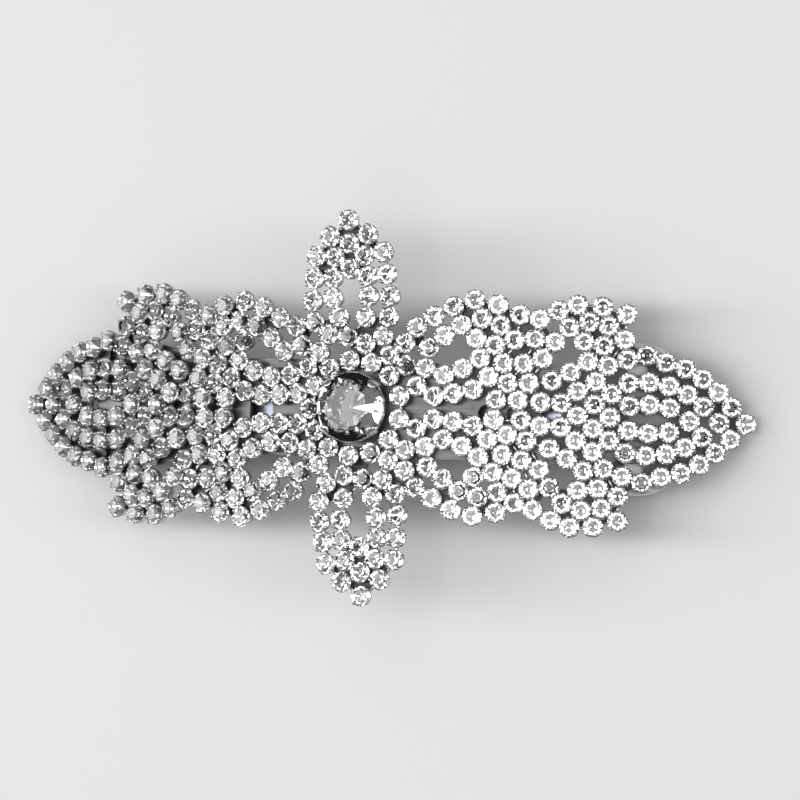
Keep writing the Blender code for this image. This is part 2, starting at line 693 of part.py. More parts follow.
def make_latch_tab(name, side):
    """One pinch tab: finger pad, pivot hole and the hook that holds the arm."""
    outline = [(x, side * y) for x, y in tab_outline()]
    hole = ring_outline(TAB_PIVOT[0], side * TAB_PIVOT[1], RIVET_RADIUS + FIT)
    obj = flat_body(name, [outline, hole], TAB_THICKNESS)
    obj.data.transform(Matrix.Translation((0.0, 0.0, TAB_TOP - TAB_THICKNESS / 2.0)))
    divide_along(obj, 4.2 * MM, 34.2 * MM, 46.9 * MM)
    bend_on_dome(obj)
    root = dome_point(43.1 * MM, 0.0, TAB_TOP - 0.6 * TAB_THICKNESS)
    lip_top = arm_height(WINDOW_X) - ARM_THICKNESS / 2.0 - FIT
    lip_floor = lip_top - 0.7 * MM
    leg_y = side * (HOOK_INNER + HOOK_THICKNESS / 2.0)
    leg = box((WINDOW_X, leg_y, (root.z + lip_floor) / 2.0),
              (HOOK_LENGTH, HOOK_THICKNESS, root.z - lip_floor))
    leg = cutter(f"{name}_leg", leg)
    lip_middle = side * (HOOK_INNER + LIP_REACH) / 2.0
    lip = box((WINDOW_X, lip_middle, (lip_top + lip_floor) / 2.0),
              (HOOK_LENGTH * 0.9, LIP_REACH - HOOK_INNER - 0.1 * MM, lip_top - lip_floor - 0.1 * MM))
    combine(leg, cutter(f"{name}_lip", lip), "UNION")
    combine(obj, leg, "UNION")
    move_origin(obj, dome_point(TAB_PIVOT[0], side * TAB_PIVOT[1], TAB_TOP - TAB_THICKNESS / 2.0))
    return obj


def make_latch_rivet(name, side):
    """Shouldered rivet that a pinch tab turns on."""
    floor = TAB_TOP - TAB_THICKNESS - FIT
    middle = (PLATE_TOP + floor) / 2.0
    upper = PLATE_TOP - middle
    lower = floor - middle
    head = 0.6 * MM
    profile = [(0.0, upper), (RIVET_RADIUS, upper), (RIVET_RADIUS, lower), (1.9 * MM, lower),
               (1.6 * MM, lower - head), (0.0, lower - head)]
    obj = turned(name, profile, "steel", 16)
    obj.location = dome_point(TAB_PIVOT[0], side * TAB_PIVOT[1], middle)
    obj.rotation_euler = (0.0, TAB_PIVOT[0] / DOME_RADIUS, 0.0)
    return obj


def make_latch_spring():
    """Hairpin of spring wire that pushes the two tabs apart."""
    wire = 0.28 * MM
    level = TAB_TOP - wire - 0.1 * MM
    bend = [math.pi * (0.5 + k / 6.0) for k in range(7)]
    loop = [(36.6 * MM + 0.9 * MM * math.cos(a), 0.9 * MM * math.sin(a)) for a in bend]
    route = [(44.0 * MM, 0.75 * MM), (40.0 * MM, 0.85 * MM)] + loop
    route += [(40.0 * MM, -0.85 * MM), (44.0 * MM, -0.75 * MM)]
    curve = bpy.data.curves.new("latch_spring", "CURVE")
    curve.dimensions = "3D"
    curve.bevel_depth = wire
    curve.bevel_resolution = 2
    curve.use_fill_caps = True
    spline = curve.splines.new("POLY")
    spline.points.add(len(route) - 1)
    for point, (s, y) in zip(spline.points, route):
        point.co = (*dome_point(s, y, level), 1.0)
    curve.materials.append(PAINT["spring"])
    obj = bpy.data.objects.new("latch_spring", curve)
    PARTS.objects.link(obj)
    return obj


def build():
    """Make every part of the hair clip."""
    for name, (row, loop) in packed_rows().items():
        make_row(name, row, loop)
    make_centre_setting()
    make_centre_stone()
    make_base_plate()
    make_hinge_bracket()
    make_hinge_pin()
    make_clasp_arm()
    make_tension_spring()
    for name, side in (("upper", 1), ("lower", -1)):
        make_latch_tab(f"latch_tab_{name}", side)
        make_latch_rivet(f"latch_rivet_{name}", side)
    make_latch_spring()


build()
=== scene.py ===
# %% [markdown]
# # A rhinestone hair clip
# This lesson dresses a finished mechanical model: a sprung barrette with a domed spray of crystals
# soldered on top. The mechanical model gives every part its place and its motion. Here each row of
# crystals is made again with real cups, claws and cut stones, and the steel gets its finish.

# %% Load the mechanical model
import math
import random

import bmesh
import bpy
import numpy as np
from mathutils import Matrix, Vector
from mathutils.geometry import delaunay_2d_cdt


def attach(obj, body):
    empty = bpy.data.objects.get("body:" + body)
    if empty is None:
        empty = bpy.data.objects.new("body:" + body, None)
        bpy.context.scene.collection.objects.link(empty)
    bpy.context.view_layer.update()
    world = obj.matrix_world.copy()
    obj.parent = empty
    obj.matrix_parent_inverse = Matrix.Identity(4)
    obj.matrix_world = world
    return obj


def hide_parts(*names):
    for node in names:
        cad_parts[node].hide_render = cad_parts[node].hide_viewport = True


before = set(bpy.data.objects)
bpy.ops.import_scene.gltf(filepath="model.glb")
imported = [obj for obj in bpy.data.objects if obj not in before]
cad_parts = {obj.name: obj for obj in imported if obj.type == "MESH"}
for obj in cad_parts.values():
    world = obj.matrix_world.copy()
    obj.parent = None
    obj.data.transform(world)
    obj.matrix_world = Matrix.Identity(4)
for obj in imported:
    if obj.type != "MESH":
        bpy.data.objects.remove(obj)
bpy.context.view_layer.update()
MM = 0.001
random.seed(7)

# %% [markdown]
# ## A socket that does sums
# Shader maths reads best as ordinary Python. A small class can wrap a node's output and overload
# plus and times, so that `0.02 + cloud * 0.03` adds its Math nodes by itself. One more method adds
# any other node, with its settings first and then its sockets.

# %% Socket class


class Wire:
    """A shader socket that works in sums: each sum adds a Math node to the same tree."""

    def __init__(self, tree, socket=None):
        self.tree = tree
        self.socket = socket

    def add(self, kind, settings=None, inputs=None, output=0):
        """Add one node: its settings first, then the values or links of its sockets."""
        node = self.tree.nodes.new(kind)
        for name, value in (settings or {}).items():
            if name == "stops":
                set_stops(node.color_ramp, value)
            else:
                setattr(node, name, value)
        for name, value in (inputs or {}).items():
            feed(self.tree, node.inputs[name], value)
        return Wire(self.tree, node.outputs[output])

    def maths(self, operation, first, second=0.0):
        """Add a Math node."""
        return self.add("ShaderNodeMath", {"operation": operation}, {0: first, 1: second})

    def __add__(self, other):
        return self.maths("ADD", self, other)

    def __mul__(self, other):
        return self.maths("MULTIPLY", self, other)

    __radd__ = __add__
    __rmul__ = __mul__


def feed(tree, place, value):
    """Give a socket a link or a value."""
    if isinstance(value, Wire):
        tree.links.new(value.socket, place)
    else:
        place.default_value = value


def set_stops(ramp, stops):
    """Set a colour ramp's stops as (position, grey or colour)."""
    while len(ramp.elements) < len(stops):
        ramp.elements.new(0.5)
    for element, (position, colour) in zip(ramp.elements, stops):
        element.position = position
        element.color = (*colour, 1.0) if isinstance(colour, tuple) else (colour, colour, colour, 1.0)


def finish(name, metallic=0.0, transmission=0.0, ior=1.5):
    """A new material: returns it, its shader node and a Wire to start its maths from."""
    material = bpy.data.materials.new(name)
    material.use_nodes = True
    shader = material.node_tree.nodes["Principled BSDF"]
    shader.inputs["Metallic"].default_value = metallic
    shader.inputs["Transmission Weight"].default_value = transmission
    shader.inputs["IOR"].default_value = ior
    return material, shader, Wire(material.node_tree)


def paint(wire, shader, **values):
    """Feed the shader's sockets by name, with _ for a space."""
    for name, value in values.items():
        feed(wire.tree, shader.inputs[name.replace("_", " ")], value)


print("socket class ready")

# %% [markdown]
# ## Crystal glass and its foil
# A rhinestone is clear lead glass with a mirror foil painted on its cut back. Light goes in through
# the crown, meets the foil and comes back out, broken into flashes. A flat white gloss can't do
# that, so the crown here is real refracting glass, and the faces behind it are a mirror. The glass
# of each stone is tinted a little differently, as batches of real stones are.

# %% Crystal finishes


def crystal_glass():
    """Clear glass, with a faint tint that changes from stone to stone."""
    material, shader, wire = finish("crystal_glass", transmission=1.0, ior=1.56)
    place = wire.add("ShaderNodeTexCoord", output="Object")
    patch = wire.add("ShaderNodeTexVoronoi", {"feature": "F1"},
                     {"Vector": place, "Scale": 310.0}, "Color")
    grey = wire.add("ShaderNodeSeparateColor", {}, {"Color": patch}, "Red")
    tint = wire.add("ShaderNodeValToRGB", {"stops": TINT_STOPS}, {"Fac": grey}, "Color")
    paint(wire, shader, Base_Color=tint, Roughness=0.0)
    return material


def mirror_foil():
    """Silvered foil behind the glass, slightly uneven."""
    material, shader, wire = finish("mirror_foil", metallic=1.0)
    place = wire.add("ShaderNodeTexCoord", output="Object")
    cloud = wire.add("ShaderNodeTexNoise", {}, {"Vector": place, "Scale": 420.0, "Detail": 2.0}, "Fac")
    colour = wire.add("ShaderNodeValToRGB", {"stops": FOIL_STOPS}, {"Fac": cloud}, "Color")
    paint(wire, shader, Base_Color=colour, Roughness=0.02 + cloud * 0.03)
    return material


TINT_STOPS = [(0.0, (1.0, 0.97, 0.96)), (0.3, (1.0, 1.0, 1.0)), (0.7, (0.98, 0.99, 1.0)),
              (1.0, (1.0, 0.95, 0.92))]
FOIL_STOPS = [(0.3, 0.88), (0.7, 0.97)]
GLASS = crystal_glass()
FOIL = mirror_foil()
print("glass", GLASS.name, "foil", FOIL.name)

# %% [markdown]
# ## Bright cups and satin steel
# The cups are silver plate: bright on the claws, which rub against hair, and greyer down between
# the stones. The clip is pressed steel with a satin grain along its length. Both could be one
# flat grey, but then they would look like plastic, so noise breaks up their colour and gloss, and
# a stretched noise gives the steel its grain.

# %% Metal finishes


def silver_plate():
    """Bright plated metal with faint tarnish."""
    material, shader, wire = finish("silver_plate", metallic=1.0)
    place = wire.add("ShaderNodeTexCoord", output="Object")
    cloud = wire.add("ShaderNodeTexNoise", {}, {"Vector": place, "Scale": 260.0, "Detail": 3.0}, "Fac")
    colour = wire.add("ShaderNodeValToRGB", {"stops": SILVER_STOPS}, {"Fac": cloud}, "Color")
    fine = wire.add("ShaderNodeTexNoise", {}, {"Vector": place, "Scale": 2400.0, "Detail": 2.0}, "Fac")
    dent = wire.add("ShaderNodeBump", {}, {"Height": fine, "Strength": 0.12, "Distance": 0.0001}, "Normal")
    paint(wire, shader, Base_Color=colour, Roughness=0.14 + cloud * 0.16, Normal=dent)
    return material


def satin_steel(name, stops, rough, grain=0.10):
    """Pressed sheet steel with a fine grain along the clip and soft cloudy wear."""
    material, shader, wire = finish(name, metallic=1.0)
    place = wire.add("ShaderNodeTexCoord", output="Object")
    stretch = wire.add("ShaderNodeMapping", {}, {"Vector": place, "Scale": (60.0, 2600.0, 900.0)}, "Vector")
    lines = wire.add("ShaderNodeTexNoise", {}, {"Vector": stretch, "Scale": 1.0, "Detail": 3.0}, "Fac")
    cloud = wire.add("ShaderNodeTexNoise", {}, {"Vector": place, "Scale": 140.0, "Detail": 4.0}, "Fac")
    mixed = cloud * 0.7 + lines * 0.3
    colour = wire.add("ShaderNodeValToRGB", {"stops": stops}, {"Fac": mixed}, "Color")
    dent = wire.add("ShaderNodeBump", {}, {"Height": lines, "Strength": grain, "Distance": 0.0001}, "Normal")
    paint(wire, shader, Base_Color=colour, Roughness=rough + mixed * 0.18, Normal=dent)
    return material


SILVER_STOPS = [(0.25, (0.42, 0.41, 0.43)), (0.5, (0.58, 0.57, 0.58)), (0.8, (0.72, 0.71, 0.71))]
STEEL_STOPS = [(0.3, (0.27, 0.27, 0.285)), (0.5, (0.34, 0.34, 0.355)), (0.75, (0.42, 0.42, 0.43))]
# The base plate is the same satin steel, painted darker as painted shade where it lies under the spray.
PLATE_SHADE_STOPS = [(0.3, (0.10, 0.10, 0.105)), (0.5, (0.16, 0.16, 0.165)), (0.75, (0.26, 0.26, 0.26))]
SPRING_STOPS = [(0.3, (0.24, 0.26, 0.30)), (0.6, (0.34, 0.36, 0.41)), (0.8, (0.42, 0.43, 0.46))]
# The solder is near black: painted shade standing in for the shadow down between the cups.
SOLDER_SHADE_STOPS = [(0.3, (0.03, 0.03, 0.035)), (0.5, (0.07, 0.07, 0.075)), (0.75, (0.14, 0.14, 0.14))]
SILVER = silver_plate()
STEEL = satin_steel("satin_steel", STEEL_STOPS, 0.30)
# Base plate steel with painted shade: darker than the rest of the clip because it lies under the spray.
SHADED_PLATE = satin_steel("plate_steel_painted_shade", PLATE_SHADE_STOPS, 0.34)
SPRING = satin_steel("spring_steel", SPRING_STOPS, 0.22, 0.06)
# Solder painted near black as painted shade for the shadow between the cups.
SOLDER_SHADE = satin_steel("solder_painted_shade", SOLDER_SHADE_STOPS, 0.38, 0.2)
print("metals", SILVER.name, STEEL.name, SPRING.name)

# %% [markdown]
# ## Where every crystal goes
# Cup chain is bent into petals and leaves, so each row is a run of equal steps along an arc. Placing
# three hundred stones by hand would be slow and uneven. A few arc sizes and one mirror rule give
# them all, and a short settling loop then pushes touching rows apart, as they are when the rows are
# laid side by side and soldered. These are the same sizes as the mechanical model's.

# %% Sizes of the spray
DOME_RADIUS = 110.0 * MM
DOME_TOP = 17.3 * MM
ROW_GAP = 2.95 * MM
PETAL_PITCH = 3.3 * MM
OUTER_ARC = 15.4 * MM
OUTER_HALF_WIDTH = 6.0 * MM
OUTER_TIP = 11.5 * MM
INNER_ARC = 9.3 * MM
INNER_HALF_WIDTH = 2.75 * MM
INNER_TIP = 7.9 * MM
INNER_SHOULDER = (6.0 * MM, 2.5 * MM)
INNER_END = (4.3 * MM, 0.0)
INNER_FOOT = (-6.8 * MM, -1.9 * MM)
INNER_ROOT = -5.9 * MM
INNER_SHIFT = 0.3 * MM
FLOWER_TWIST = math.radians(2.0)
END_TWIST = math.radians(4.8)
SIDE_PETAL = (14.7 * MM, 8.0 * MM, math.radians(28.5))
END_PETAL = (0.0, 16.0 * MM, math.radians(90.0))
CORNER_PETAL = (30.25 * MM, 8.4 * MM, math.radians(35.5))
CORNER_TOP = 15.3 * MM
FLOWER_SLOT = 2.15 * MM
CORNER_SLOT = 1.75 * MM
SEAM_TOP = (27.2 * MM, 13.9 * MM)
SEAM_FOOT = (22.8 * MM, 4.3 * MM)
SEAM_COUNT = 4
SEAM_BOW = 0.85 * MM
ROOT_RADIUS = 9.6 * MM
ROOT_ANGLE = math.radians(47.0)
ROOT_PITCH = 3.0 * MM
LEAF_PITCH = 2.95 * MM
LEAF_OUTER = (42.3 * MM, 8.6 * MM, 16.7 * MM)
LEAF_MIDDLE = (43.2 * MM, 5.3 * MM, 12.1 * MM)
LEAF_INNER = (43.5 * MM, 2.1 * MM, 14.0 * MM)
LEAF_TIPS = (57.7 * MM, 53.9 * MM, 49.5 * MM)
LEAF_ROOTS = (33.2 * MM, 37.8 * MM)
RING_COUNT = 13
RING_RADIUS = 7.0 * MM


def arc_place(index, pitch, arc, half_width):
    """Crystal on an arc that bulges to half_width at index 0."""
    angle = index * pitch / arc
    return (arc * math.sin(angle), half_width - arc * (1.0 - math.cos(angle)))


def outer_petal_row(upper, lower):
    """Open row round a petal: up one side from its root, over the tip and down the other."""
    side = [arc_place(k, PETAL_PITCH, OUTER_ARC, OUTER_HALF_WIDTH) for k in range(upper, 4)]
    back = [arc_place(k, PETAL_PITCH, OUTER_ARC, OUTER_HALF_WIDTH) for k in range(3, lower - 1, -1)]
    return side + [(OUTER_TIP, 0.0)] + [(x, -y) for x, y in back]


def inner_petal_row():
    """Loop round a petal's opening, with one more crystal in the opening's outer end."""
    side = [arc_place(k, 0.97 * PETAL_PITCH, INNER_ARC, INNER_HALF_WIDTH) for k in (-1, 0, 1)]
    side = [(x + INNER_SHIFT, y) for x, y in side] + [INNER_SHOULDER]
    back = [(x, -y) for x, y in reversed(side)]
    return side + [(INNER_TIP, 0.0)] + back + [(INNER_ROOT, 0.0), INNER_END]


def seam_row():
    """Short row in even steps between a side petal and a corner, bowed towards the corner."""
    run = SEAM_FOOT[0] - SEAM_TOP[0]
    drop = SEAM_FOOT[1] - SEAM_TOP[1]
    length = math.hypot(run, drop)
    row = []
    for k in range(SEAM_COUNT):
        t = k / (SEAM_COUNT - 1)
        bow = 4.0 * SEAM_BOW * t * (1.0 - t) / length
        row.append((SEAM_TOP[0] + t * run - bow * drop, SEAM_TOP[1] + t * drop + bow * run))
    return row


def root_row():
    """Two crystals side by side on a circle round the large stone, between two petals."""
    half = 0.5 * ROOT_PITCH / ROOT_RADIUS
    angles = [ROOT_ANGLE + half, ROOT_ANGLE - half]
    return [(ROOT_RADIUS * math.cos(a), ROOT_RADIUS * math.sin(a)) for a in angles]


def leaf_row(leaf, first, last, tip, root=None):
    """Row round an end leaf, closed where it has a root crystal."""
    centre, half_width, arc = leaf
    side = [arc_place(k, LEAF_PITCH, arc, half_width) for k in range(first, last + 1)]
    side = [(x + centre, y) for x, y in side]
    back = [(x, -y) for x, y in reversed(side)]
    return side + [(tip, 0.0)] + back + ([(root, 0.0)] if root else [])


def place_row(row, petal):
    """Turn a petal's own row onto its place in the spray."""
    x0, y0, angle = petal
    c, s = math.cos(angle), math.sin(angle)
    return [(x0 + c * x - s * y, y0 + s * x + c * y) for x, y in row]


def press_flat(row, lowest, highest=1.0):
    """Flatten a row where it runs along the open slot down the middle."""
    return [(x, min(max(y, lowest), highest)) for x, y in row]


def mirrored(row, x_sign, y_sign):
    """Reflect a first-quadrant row into another quadrant."""
    return [(x_sign * x, y_sign * y) for x, y in row]


def twisted(row, twist=FLOWER_TWIST):
    """Turn a flower row by the flower's small twist, or by the end petals' larger one."""
    return place_row(row, (0.0, 0.0, twist))


# %% [markdown]
# The flower has six petals of two rows each, four corner petals fill the shoulders, and a leaf of
# three nested rows closes each end. The ring round the large stone comes first, because the
# settling loop holds it still.

# %% Lay out the rows


def planned_rows():
    """Every row of small crystals by name, with its places and how many of them form a loop."""
    rows = {}
    angles = [math.tau * (k + 0.5) / RING_COUNT for k in range(RING_COUNT)]
    ring = [(RING_RADIUS * math.cos(a), RING_RADIUS * math.sin(a)) for a in angles]
    rows["centre_ring"] = (twisted(ring), RING_COUNT)
    inner = inner_petal_row()
    loop = len(inner) - 1
    for name, y_sign in (("top", 1), ("bottom", -1)):
        outer_row = place_row(outer_petal_row(-2, -2), END_PETAL)
        rows[f"petal_{name}_outer"] = (twisted(mirrored(outer_row, y_sign, y_sign), END_TWIST), 0)
        inner_row = place_row(inner + [INNER_FOOT], END_PETAL)
        rows[f"petal_{name}_inner"] = (twisted(mirrored(inner_row, y_sign, y_sign), END_TWIST), loop)
    for side, x_sign in (("right", 1), ("left", -1)):
        for level, y_sign in (("upper", 1), ("lower", -1)):
            place = f"{level}_{side}"
            outer_row = press_flat(place_row(outer_petal_row(-2, -3), SIDE_PETAL), FLOWER_SLOT)
            rows[f"petal_{place}_outer"] = (twisted(mirrored(outer_row, x_sign, y_sign)), 0)
            inner_row = place_row(inner, SIDE_PETAL)
            rows[f"petal_{place}_inner"] = (twisted(mirrored(inner_row, x_sign, y_sign)), loop)
            outer_row = press_flat(place_row(outer_petal_row(1, -4), CORNER_PETAL),
                                   CORNER_SLOT, CORNER_TOP)
            rows[f"corner_{place}_outer"] = (mirrored(outer_row, x_sign, y_sign), 0)
            inner_row = place_row(inner, CORNER_PETAL)
            rows[f"corner_{place}_inner"] = (mirrored(inner_row, x_sign, y_sign), loop)
            rows[f"seam_{place}"] = (mirrored(seam_row(), x_sign, y_sign), 0)
            rows[f"root_{place}"] = (twisted(mirrored(root_row(), x_sign, y_sign)), 0)
        outer_row = leaf_row(LEAF_OUTER, -1, 5, LEAF_TIPS[0])
        rows[f"leaf_{side}_outer"] = (mirrored(outer_row, x_sign, 1), 0)
        middle_row = leaf_row(LEAF_MIDDLE, -3, 3, LEAF_TIPS[1], LEAF_ROOTS[0])
        rows[f"leaf_{side}_middle"] = (mirrored(middle_row, x_sign, 1), len(middle_row))
        inner_row = leaf_row(LEAF_INNER, -1, 1, LEAF_TIPS[2], LEAF_ROOTS[1])
        rows[f"leaf_{side}_inner"] = (mirrored(inner_row, x_sign, 1), len(inner_row))
    return rows


def packed_rows():
    """Rows after they are pushed side by side, so that no two cups are closer than ROW_GAP."""
    rows = planned_rows()
    places = np.array([place for row, _ in rows.values() for place in row])
    held = np.arange(len(places)) < RING_COUNT
    for _ in range(300):
        step = places[:, None, :] - places[None, :, :]
        distance = np.sqrt((step ** 2).sum(axis=2)) + np.eye(len(places))
        close = distance < ROW_GAP
        np.fill_diagonal(close, False)
        push = np.where(close, 0.26 * (ROW_GAP - distance) / distance, 0.0)
        move = (push[:, :, None] * step).sum(axis=1)
        move[held] = 0.0
        places = places + move
    result = {}
    start = 0
    for name, (row, loop) in rows.items():
        result[name] = (places[start:start + len(row)], loop)
        start += len(row)
    return result


ROWS = packed_rows()
print(len(ROWS), "rows,", sum(len(row) for row, _ in ROWS.values()), "crystals")


# %% [markdown]
# ## The dome
# The spray is curved over the head, so a flat plan isn't enough. One function turns a place along
# the arc, a place across it and a height above it into a world matrix, and each stone and cup is
# stood on the dome with it.

# %% Place things on the dome


def dome_place(s, y, height=0.0, turn=0.0):
    """World matrix of a point on the dome, with +Z out of the dome and +X along it."""
    angle = s / DOME_RADIUS
    reach = DOME_RADIUS + height
    spot = Vector((reach * math.sin(angle), y, reach * math.cos(angle) - DOME_RADIUS + DOME_TOP))
    return Matrix.Translation(spot) @ Matrix.Rotation(angle, 4, "Y") @ Matrix.Rotation(turn, 4, "Z")


def nearest_cup(row, index, chain):
    """Index of the nearest cup in the row's chain, and of the later one when two are as near."""
    gaps = [round(float(np.hypot(*(row[k] - row[index]))) / MM, 1) for k in range(chain)]
    return max(range(chain), key=lambda k: (-gaps[k], k))


def neighbours(row, loop):
    """Index pairs of cups that a link joins: along the chain, and from each crystal beside it."""
    chain = loop or len(row)
    pairs = [(k, k + 1) for k in range(chain - 1)]
    if loop:
        pairs.append((loop - 1, 0))
    return pairs + [(nearest_cup(row, k, chain), k) for k in range(chain, len(row))]


def row_heading(row, index, loop):
    """Direction in which a row runs at one crystal."""
    chain = loop or len(row)
    if index >= chain:
        before, after = nearest_cup(row, index, chain), index
    elif loop:
        before, after = (index - 1) % loop, (index + 1) % loop
    else:
        before, after = max(index - 1, 0), min(index + 1, chain - 1)
    step = row[after] - row[before]
    return math.atan2(step[1], step[0])


def piece(name, bm, materials, body="clip_base", replaced=None, smooth=False):
    """Make a finished object from a bmesh, parent it to its body and hide the part it replaces."""
    for face in bm.faces:
        face.smooth = smooth
    mesh = bpy.data.meshes.new(name)
    bm.to_mesh(mesh)
    bm.free()
    for material in materials:
        mesh.materials.append(material)
    obj = bpy.data.objects.new(name, mesh)
    bpy.context.scene.collection.objects.link(obj)
    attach(obj, body)
    if replaced:
        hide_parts(replaced)
    return obj


# %% [markdown]
# ## One cut stone
# A small stone is cut as a short brilliant: a flat table, star and kite facets on the crown, a thin
# girdle, and a pointed back. Listing its faces would be long and error-prone. All its corners lie
# on a few rings, and a cut stone is convex, so the convex hull of those rings is the stone.

# %% Cut a stone


def stone_rings(radius, girdle, table_z, culet_z, table_share):
    """Corners of a brilliant-cut stone as (radius, height, count, turn) rings."""
    crown = table_z - girdle
    back = girdle - culet_z
    return [(table_share * radius, table_z, 8, 0.5), (0.80 * radius, girdle + 0.55 * crown, 8, 0.0),
            (radius, girdle + 0.06 * crown, 16, 0.0), (radius, girdle - 0.04 * back, 16, 0.0),
            (0.52 * radius, girdle - 0.52 * back, 8, 0.5), (0.0, culet_z, 1, 0.0)]


def cut_stone(radius, girdle, table_z, culet_z, table_share=0.56):
    """Mesh of one stone: glass in front of the girdle, foil behind it."""
    bm = bmesh.new()
    for ring_radius, height, count, turn in stone_rings(radius, girdle, table_z, culet_z, table_share):
        for k in range(count):
            angle = math.tau * (k + turn) / count
            bm.verts.new((ring_radius * math.cos(angle), ring_radius * math.sin(angle), height))
    bmesh.ops.convex_hull(bm, input=bm.verts)
    bmesh.ops.dissolve_limit(bm, angle_limit=math.radians(1.0), verts=bm.verts, edges=bm.edges)
    bmesh.ops.recalc_face_normals(bm, faces=bm.faces)
    for face in bm.faces:
        face.material_index = 1 if face.calc_center_median().z < girdle - 0.05 * (girdle - culet_z) else 0
    mesh = bpy.data.meshes.new("stone")
    bm.to_mesh(mesh)
    bm.free()
    return mesh


STONE_RADIUS = 1.42 * MM
STONE_GIRDLE = 0.25 * MM
STONE_TABLE = 0.95 * MM
STONE_CULET = -0.85 * MM
SMALL_STONE = cut_stone(STONE_RADIUS, STONE_GIRDLE, STONE_TABLE, STONE_CULET)
print("one stone has", len(SMALL_STONE.polygons), "facets")

# %% [markdown]
# ## One cup with its claws
# Each stone sits in a pressed cup, held by four claws that are bent over its edge. The wall is a
# turned profile, which `spin` makes, and each claw is a post with a round tip. They are made once
# and then stamped along every row.

# %% Press a cup


def spin_profile(bm, profile, steps):
    """Turn an (r, z) profile about Z into a closed skin."""
    verts = [bm.verts.new((r, 0.0, z)) for r, z in profile]
    edges = [bm.edges.new(pair) for pair in zip(verts, verts[1:] + verts[:1])]
    bmesh.ops.spin(bm, geom=verts + edges, cent=(0, 0, 0), axis=(0, 0, 1), angle=math.tau,
                   steps=steps, use_merge=True)


def claw(bm, radius, height, width, reach, turn):
    """One claw: a post up the wall and a round tip over the stone."""
    spin = Matrix.Rotation(turn, 4, "Z")
    post = spin @ Matrix.Translation((radius, 0.0, height * 0.4))
    post = post @ Matrix.Diagonal((0.16 * MM, width, height * 1.15, 1.0))
    bmesh.ops.create_cube(bm, size=1.0, matrix=post)
    tip = spin @ Matrix.Translation((radius - reach * 0.35, 0.0, height))
    tip = tip @ Matrix.Rotation(math.radians(24.0), 4, "Y")
    tip = tip @ Matrix.Diagonal((reach, width * 0.62, 0.15 * MM, 1.0))
    bmesh.ops.create_uvsphere(bm, u_segments=10, v_segments=6, radius=1.0, matrix=tip)


def pressed_cup():
    """Mesh of one small cup."""
    bm = bmesh.new()
    spin_profile(bm, [(0.25 * MM, -1.15 * MM), (0.9 * MM, -1.15 * MM), (1.15 * MM, -0.95 * MM),
                      (1.43 * MM, 0.16 * MM), (1.47 * MM, 0.16 * MM), (1.47 * MM, -0.1 * MM),
                      (1.22 * MM, -1.1 * MM), (0.95 * MM, -1.2 * MM), (0.25 * MM, -1.2 * MM)], 16)
    for k in range(4):
        claw(bm, 1.43 * MM, 0.52 * MM, 0.44 * MM, 0.27 * MM, math.tau * (k + 0.5) / 4.0)
    bmesh.ops.recalc_face_normals(bm, faces=bm.faces)
    mesh = bpy.data.meshes.new("cup")
    bm.to_mesh(mesh)
    bm.free()
    return mesh


SMALL_CUP = pressed_cup()
print("one cup has", len(SMALL_CUP.polygons), "faces")

# %% [markdown]
# ## The rows
# A row is its cups, the little bars that join them, and its stones. Every stone is turned and
# tipped by a degree or two, because no two sit quite alike, and that is what makes the rows
# sparkle unevenly. A seeded random generator keeps it the same every time. The cups are drawn five
# percent large, so that the rows look as closely set as real ones. Neighbouring rims then overlap
# slightly where the rows are tightest, which real cups don't do.

# %% Set the rows
ROW_SIZE = 1.05


def stamp(bm, mesh, matrix):
    """Copy a ready-made mesh into a bmesh at a place."""
    start = len(bm.verts)
    bm.from_mesh(mesh)
    bm.verts.ensure_lookup_table()
    bmesh.ops.transform(bm, matrix=matrix, verts=bm.verts[start:])


def link_bar(bm, first, second):
    """The small bar between two cups."""
    middle = (first + second) / 2.0
    step = second - first
    turn = math.atan2(step[1], step[0])
    place = dome_place(middle[0], middle[1], -0.7 * MM, turn)
    lie_down = Matrix.Rotation(math.pi / 2.0, 4, "Y")
    length = float(np.hypot(*step)) - 1.8 * MM
    bmesh.ops.create_cone(bm, cap_ends=True, segments=8, radius1=0.3 * MM, radius2=0.3 * MM,
                          depth=length, matrix=place @ lie_down)


def set_row(name, row, loop, grow):
    """Cups, links and stones of one row, in place of its plain solid."""
    size = Matrix.Scale(grow, 4)
    cups = bmesh.new()
    stones = bmesh.new()
    for index, (s, y) in enumerate(row):
        heading = row_heading(row, index, loop)
        stamp(cups, SMALL_CUP, dome_place(s, y, 0.0, heading) @ size)
        tip = Matrix.Rotation(math.radians(random.gauss(0.0, 2.2)), 4, "X")
        lean = Matrix.Rotation(math.radians(random.gauss(0.0, 2.2)), 4, "Y")
        place = dome_place(s, y, 0.0, random.uniform(0.0, math.tau))
        stamp(stones, SMALL_STONE, place @ tip @ lean @ size)
    for first, second in neighbours(row, loop):
        link_bar(cups, row[first], row[second])
    piece(f"{name}_cups", cups, [SILVER], replaced=name, smooth=True)
    piece(f"{name}_stones", stones, [GLASS, FOIL])


for row_name, (row_places, row_loop) in ROWS.items():
    set_row(row_name, row_places, row_loop, ROW_SIZE)
print("rows set")
